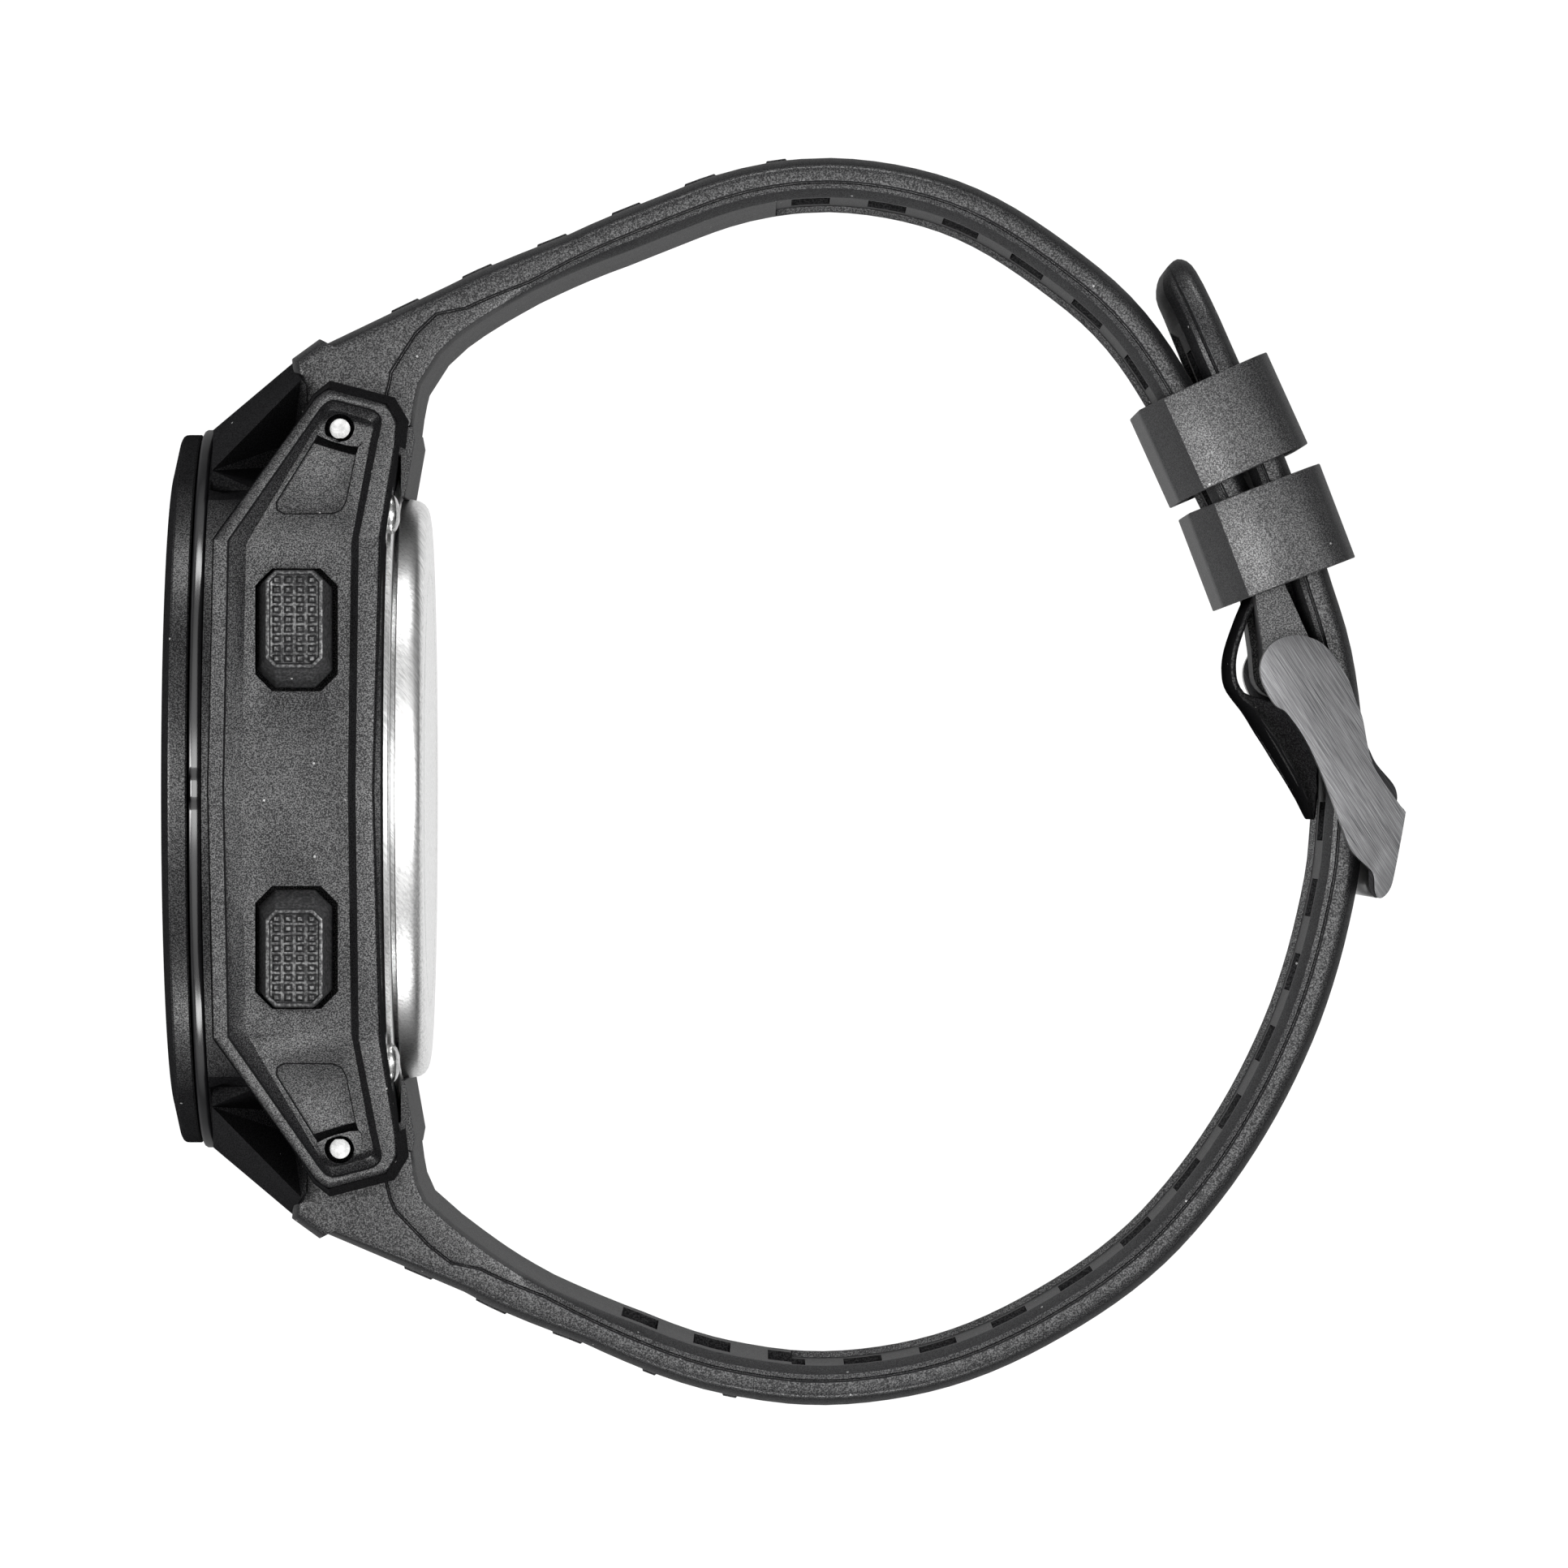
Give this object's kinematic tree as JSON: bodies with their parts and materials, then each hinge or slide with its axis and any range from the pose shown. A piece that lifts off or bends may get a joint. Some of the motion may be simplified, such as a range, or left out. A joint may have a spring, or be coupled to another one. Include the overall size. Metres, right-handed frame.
{
  "type": "sports watch",
  "caption": "Round digital sports watch with recessed side guards, push buttons, a steel case back and a buckled slotted resin strap with two keepers.",
  "frame": {"origin": "the middle of the case back, where it meets the wrist", "axes": "+X from the dial to the back, +Y to 12 o'clock, +Z to 3 o'clock and up: the watch lies on its 9 o'clock side"},
  "size_m": [0.0737, 0.075, 0.047],
  "materials": {
    "resin": "fine matte, slightly sparkling moulded texture",
    "resin_button": "matte moulded, studded pad",
    "gloss_trim": "polished black",
    "lens_glass": "clear, flat",
    "black_rubber": "matte",
    "dial_print": "printed mask with plain markings",
    "lcd_glass": "display glass with plain digits",
    "backlight": "satin",
    "contact_rubber": "matte",
    "module_plastic": "matte",
    "board_green": "solder mask",
    "chip_black": "matte",
    "contact_brass": "plain",
    "steel_brushed": "brushed cup, polished rim",
    "steel_polished": "polished",
    "strap_resin": "fine matte, slightly sparkling moulded texture",
    "gunmetal": "brushed, dark"
  },
  "bodies": {
    "watch": {"bezel": "resin", "trim_ring": "gloss_trim", "lens": "lens_glass", "lens_gasket": "black_rubber", "dial_mask": "dial_print", "lcd_panel": "lcd_glass", "backlight_panel": "backlight", "contact_strips": "contact_rubber", "module_frame": "module_plastic", "circuit_board": "board_green", "main_chip": "chip_black", "quartz_can": "steel_polished", "battery": "steel_polished", "battery_clip": "contact_brass", "piezo_buzzer": "contact_brass", "case_body": "resin", "back_gasket": "black_rubber", "case_back": "steel_brushed", "case_back_screws": "steel_polished", "start_spring": "steel_polished", "reset_spring": "steel_polished", "light_spring": "steel_polished", "mode_spring": "steel_polished", "button_seals": "black_rubber", "spring_bar_12h": "steel_polished", "spring_bar_6h": "steel_polished", "short_strap": "strap_resin", "long_strap": "strap_resin"},
    "start_button": {"start_button": "resin_button", "start_clip": "steel_polished"},
    "reset_button": {"reset_button": "resin_button", "reset_clip": "steel_polished"},
    "light_button": {"light_button": "resin_button", "light_clip": "steel_polished"},
    "mode_button": {"mode_button": "resin_button", "mode_clip": "steel_polished"},
    "buckle_frame": {"buckle_frame": "gunmetal", "buckle_bar": "steel_polished"},
    "buckle_tongue": {"buckle_tongue": "gunmetal"},
    "keeper_upper": {"keeper_upper": "strap_resin"},
    "keeper_lower": {"keeper_lower": "strap_resin"}
  },
  "joints": [
    {"name": "start_press", "type": "slide", "parent": "watch", "child": "start_button", "axis": [0, 0, -1], "range_m": [0, 0.0006], "stiffness_N_per_m": 1000, "springref_m": -0.001, "deforming": ["start_spring"]},
    {"name": "reset_press", "type": "slide", "parent": "watch", "child": "reset_button", "axis": [0, 0, -1], "range_m": [0, 0.0006], "stiffness_N_per_m": 1000, "springref_m": -0.001, "deforming": ["reset_spring"]},
    {"name": "light_press", "type": "slide", "parent": "watch", "child": "light_button", "axis": [0, 0, 1], "range_m": [0, 0.0006], "stiffness_N_per_m": 1000, "springref_m": -0.001, "deforming": ["light_spring"]},
    {"name": "mode_press", "type": "slide", "parent": "watch", "child": "mode_button", "axis": [0, 0, 1], "range_m": [0, 0.0006], "stiffness_N_per_m": 1000, "springref_m": -0.001, "deforming": ["mode_spring"]},
    {"name": "frame_hinge", "type": "hinge", "parent": "watch", "child": "buckle_frame", "pos_m": [0.05175, 0.0071, 0], "axis": [0, 0, 1], "range_deg": [0, 4]},
    {"name": "tongue_hinge", "type": "hinge", "parent": "watch", "child": "buckle_tongue", "pos_m": [0.05175, 0.0071, 0], "axis": [0, 0, 1], "range_deg": [0, 4]},
    {"name": "keeper_upper_slide", "type": "slide", "parent": "watch", "child": "keeper_upper", "axis": [-0.4749, 0.88, 0], "range_m": [-0.0002, 0.002]},
    {"name": "keeper_lower_slide", "type": "slide", "parent": "watch", "child": "keeper_lower", "axis": [-0.4122, 0.9111, 0], "range_m": [-0.0003, 0.0003]}
  ],
  "couplings": [
    {"joint": "tongue_hinge", "follows": "frame_hinge", "ratio": 1}
  ]
}
